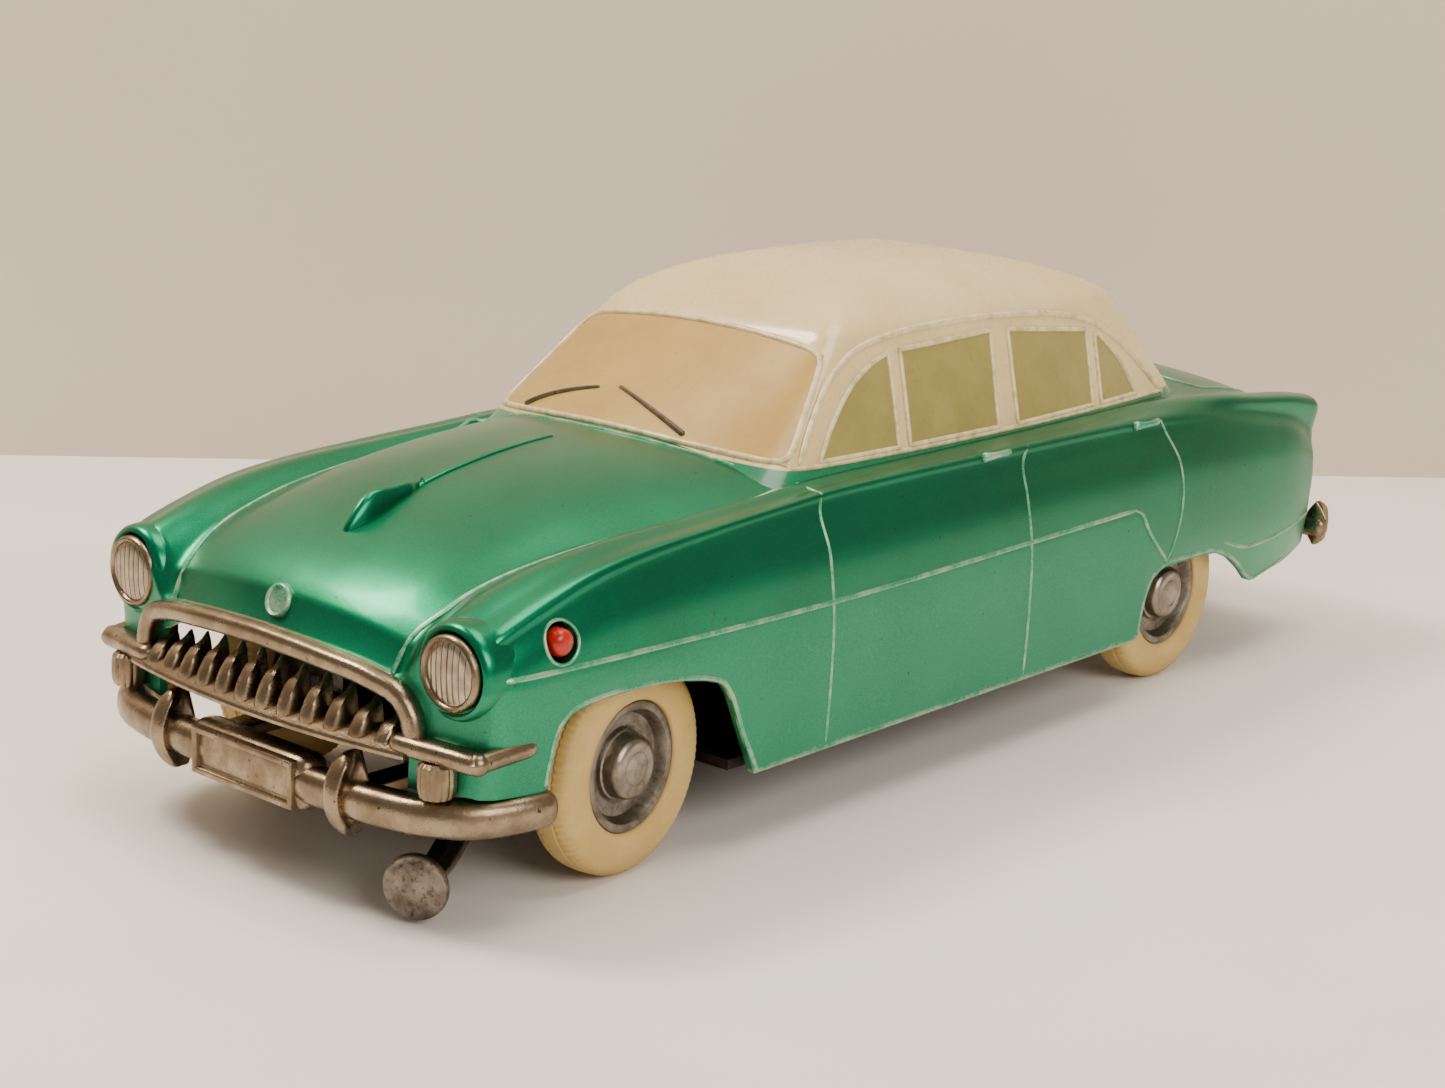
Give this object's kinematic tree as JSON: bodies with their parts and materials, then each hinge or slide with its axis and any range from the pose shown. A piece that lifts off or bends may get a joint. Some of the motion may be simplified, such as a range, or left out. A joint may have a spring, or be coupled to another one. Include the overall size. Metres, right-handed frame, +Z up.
{
  "type": "clockwork toy car",
  "caption": "Die-cast clockwork toy saloon car with two-tone lacquer, steerable front wheels, start knob in the wing and a control lever under the bumper",
  "frame": {"origin": "on the ground under the middle of the car", "axes": "+X forward to the front bumper, +Y to the car's left, +Z up"},
  "size_m": [0.15, 0.0532, 0.05],
  "materials": {
    "body_lacquer": "metallic green lacquer on a zinc casting, with a cream roof and straw coloured painted windows",
    "dark_steel": "blackened sheet steel, rubbed and a little rusty",
    "zinc_plated_steel": "bright zinc plated or plain steel",
    "wheel_metal": "dull grey pressed metal with worn high spots",
    "tyre_rubber": "yellowed cream rubber",
    "gear_brass": "cut sheet brass",
    "plated_casting": "nickel plated zinc, tarnished warm",
    "red_knob": "glossy red plastic"
  },
  "bodies": {
    "chassis": {"body_shell": "body_lacquer", "base_plate": "dark_steel", "base_screws": "zinc_plated_steel", "front_beam": "dark_steel", "motor_plate_left": "zinc_plated_steel", "motor_plate_right": "zinc_plated_steel", "motor_pillars": "zinc_plated_steel", "motor_rivets": "zinc_plated_steel", "idler_arbor": "zinc_plated_steel", "anchor_pin": "zinc_plated_steel", "mainspring": "zinc_plated_steel", "stop_lever_pin": "zinc_plated_steel", "lever_rivet": "zinc_plated_steel", "front_bumper": "plated_casting", "front_grille": "plated_casting", "rear_bumper": "plated_casting", "headlamp_left": "plated_casting", "headlamp_right": "plated_casting"},
    "rear_wheels": {"rear_axle": "zinc_plated_steel", "axle_pinion": "gear_brass", "tyre_rear_left": "tyre_rubber", "tyre_rear_right": "tyre_rubber", "wheel_disc_rear_left": "wheel_metal", "wheel_disc_rear_right": "wheel_metal", "hub_cap_rear_left": "wheel_metal", "hub_cap_rear_right": "wheel_metal"},
    "front_wheel_left": {"tyre_front_left": "tyre_rubber", "wheel_disc_front_left": "wheel_metal", "hub_cap_front_left": "wheel_metal"},
    "front_wheel_right": {"tyre_front_right": "tyre_rubber", "wheel_disc_front_right": "wheel_metal", "hub_cap_front_right": "wheel_metal"},
    "knuckle_left": {"steering_knuckle_left": "zinc_plated_steel"},
    "knuckle_right": {"steering_knuckle_right": "zinc_plated_steel"},
    "track_rod": {"tie_rod": "zinc_plated_steel"},
    "idler": {"idler_gear": "gear_brass"},
    "second_gear_set": {"second_arbor": "zinc_plated_steel", "second_pinion": "gear_brass", "second_wheel": "gear_brass"},
    "great_gear": {"great_wheel": "gear_brass", "click_pin": "zinc_plated_steel"},
    "pawl": {"click": "zinc_plated_steel"},
    "winding": {"winding_arbor": "zinc_plated_steel", "ratchet_wheel": "zinc_plated_steel"},
    "governor": {"governor_arbor": "zinc_plated_steel", "governor_pinion": "gear_brass", "governor_wheel": "gear_brass"},
    "star": {"star_arbor": "zinc_plated_steel", "star_pinion": "gear_brass", "star_wheel": "gear_brass"},
    "pallet": {"anchor": "zinc_plated_steel"},
    "stop_control": {"stop_lever": "zinc_plated_steel", "stop_knob": "red_knob"},
    "front_control": {"control_lever": "dark_steel", "control_pad": "wheel_metal"}
  },
  "joints": [
    {"name": "rear_axle_spin", "type": "hinge", "parent": "chassis", "child": "rear_wheels", "pos_m": [-0.04105, 0, 0.0102], "axis": [0, 1, 0], "continuous": true},
    {"name": "idler_spin", "type": "hinge", "parent": "chassis", "child": "idler", "pos_m": [-0.03527, 0, 0.01774], "axis": [0, 1, 0], "continuous": true},
    {"name": "second_spin", "type": "hinge", "parent": "chassis", "child": "second_gear_set", "pos_m": [-0.01796, 0, 0.0203], "axis": [0, 1, 0], "continuous": true},
    {"name": "great_wheel_spin", "type": "hinge", "parent": "chassis", "child": "great_gear", "pos_m": [-0.004, 0, 0.0205], "axis": [0, 1, 0], "continuous": true},
    {"name": "governor_spin", "type": "hinge", "parent": "chassis", "child": "governor", "pos_m": [0.0095, 0, 0.0242], "axis": [0, 1, 0], "continuous": true},
    {"name": "star_spin", "type": "hinge", "parent": "chassis", "child": "star", "pos_m": [0.01935, 0, 0.0225], "axis": [0, 1, 0], "continuous": true},
    {"name": "winding_turn", "type": "hinge", "parent": "great_gear", "child": "winding", "pos_m": [-0.004, 0, 0.0205], "axis": [0, 1, 0], "continuous": true},
    {"name": "click_lift", "type": "hinge", "parent": "great_gear", "child": "pawl", "pos_m": [-0.004, 0, 0.0281], "axis": [0, 1, 0], "range_deg": [0, 14], "stiffness_Nm_per_rad": 0.0005, "springref_deg": -5.73},
    {"name": "pallet_rock", "type": "hinge", "parent": "chassis", "child": "pallet", "pos_m": [0.01935, 0, 0.0286], "axis": [0, 1, 0], "range_deg": [-4, 4]},
    {"name": "steering_left", "type": "hinge", "parent": "chassis", "child": "knuckle_left", "pos_m": [0.0497, 0.0155, 0.01], "axis": [0, 0, 1], "range_deg": [-19.4, 8.6]},
    {"name": "steering_right", "type": "hinge", "parent": "chassis", "child": "knuckle_right", "pos_m": [0.0497, -0.0155, 0.01], "axis": [0, 0, 1], "range_deg": [-19.4, 8.6]},
    {"name": "tie_rod_pivot", "type": "hinge", "parent": "knuckle_left", "child": "track_rod", "pos_m": [0.04273, 0.01484, 0.01], "axis": [0, 0, 1], "range_deg": [-8.6, 19.4]},
    {"name": "front_wheel_left_spin", "type": "hinge", "parent": "knuckle_left", "child": "front_wheel_left", "pos_m": [0.04918, 0.02098, 0.0102], "axis": [-0.0941, 0.9956, 0], "continuous": true},
    {"name": "front_wheel_right_spin", "type": "hinge", "parent": "knuckle_right", "child": "front_wheel_right", "pos_m": [0.05022, -0.02098, 0.0102], "axis": [-0.0941, 0.9956, 0], "continuous": true},
    {"name": "stop_lever_turn", "type": "hinge", "parent": "chassis", "child": "stop_control", "pos_m": [0.04, 0.0215, 0.0248], "axis": [0, 0, 1], "range_deg": [-3.5, 0]},
    {"name": "control_lever_swing", "type": "hinge", "parent": "chassis", "child": "front_control", "pos_m": [0.038, 0.003, 0.0054], "axis": [0, 0, 1], "range_deg": [-50.4, 0]}
  ],
  "couplings": [
    {"joint": "idler_spin", "follows": "rear_axle_spin", "ratio": -0.46154},
    {"joint": "second_spin", "follows": "rear_axle_spin", "ratio": 0.27273},
    {"joint": "great_wheel_spin", "follows": "rear_axle_spin", "ratio": -0.07438},
    {"joint": "governor_spin", "follows": "rear_axle_spin", "ratio": 0.27273},
    {"joint": "star_spin", "follows": "rear_axle_spin", "ratio": -1.0909},
    {"joint": "steering_right", "follows": "steering_left", "ratio": 1},
    {"joint": "tie_rod_pivot", "follows": "steering_left", "ratio": -1}
  ]
}
